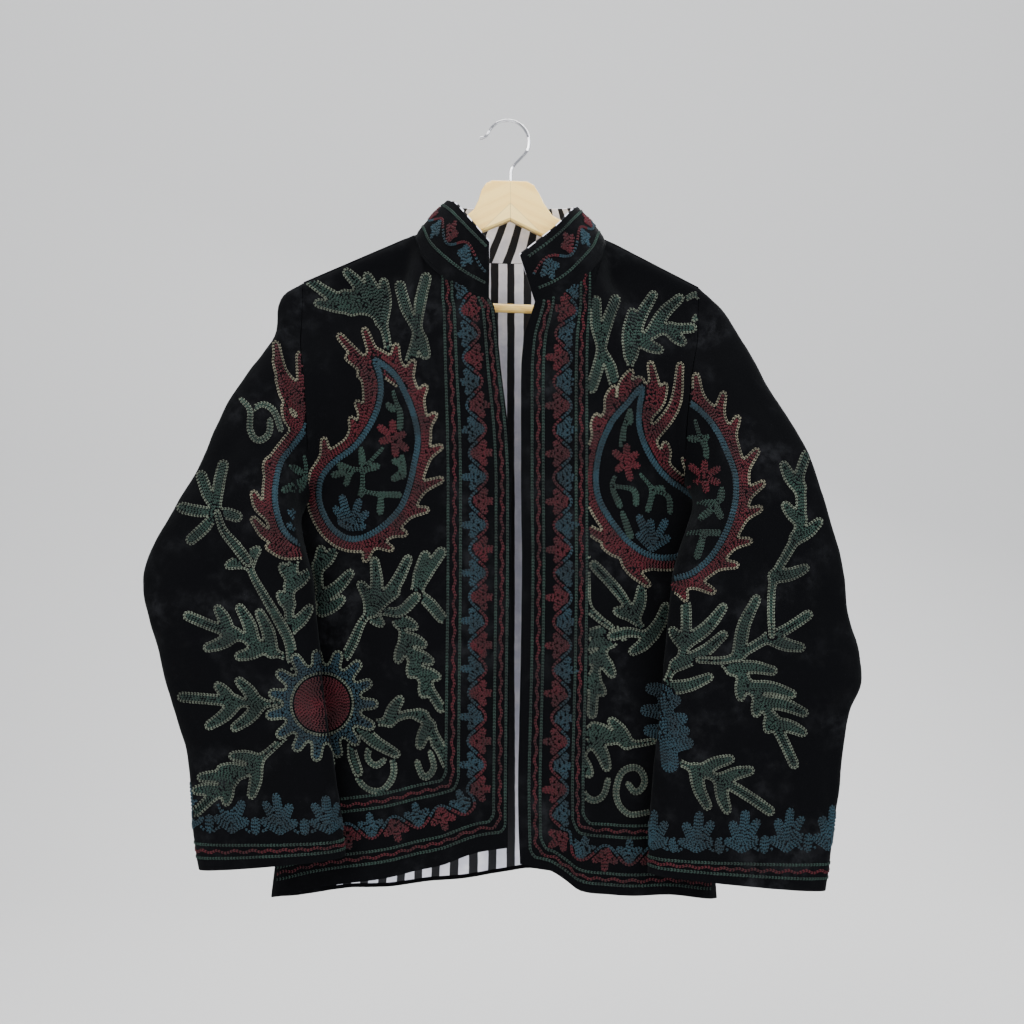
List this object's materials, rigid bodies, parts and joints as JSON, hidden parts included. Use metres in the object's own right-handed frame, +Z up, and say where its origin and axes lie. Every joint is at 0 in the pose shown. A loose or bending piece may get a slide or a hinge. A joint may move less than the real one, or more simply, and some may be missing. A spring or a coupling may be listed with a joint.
{
  "type": "embroidered velvet jacket on a wooden hanger",
  "caption": "Open-front velvet jacket with a standing collar, wide long sleeves and chain-stitched flower embroidery, hanging on a flat wooden hanger by its wire hook.",
  "frame": {"origin": "inside top of the hook's bend, where the rail bears", "axes": "+Z up, -Y the jacket's front, -X the wearer's right side"},
  "size_m": [0.6918, 0.1494, 0.7807],
  "materials": {
    "velvet": "black cotton velvet, slightly crushed",
    "lining": "plain weave cotton in black and white stripes",
    "wood": "pale satin varnished beech",
    "steel": "plated steel wire",
    "thread_sage": "pale sage cotton thread, chain stitched",
    "thread_green": "dark green cotton thread, chain stitched",
    "thread_red": "crimson cotton thread, chain stitched",
    "thread_blue": "teal blue cotton thread, chain stitched"
  },
  "bodies": {
    "root": {"front_right": "velvet", "front_left": "velvet", "back": "velvet", "sleeve_right": "velvet", "sleeve_left": "velvet", "collar": "velvet", "collar_lining": "lining", "back_lining": "lining", "cuff_lining_right": "lining", "cuff_lining_left": "lining", "hanger_wood": "wood", "hanger_bar": "wood", "hanger_hook": "steel"}
  },
  "joints": []
}
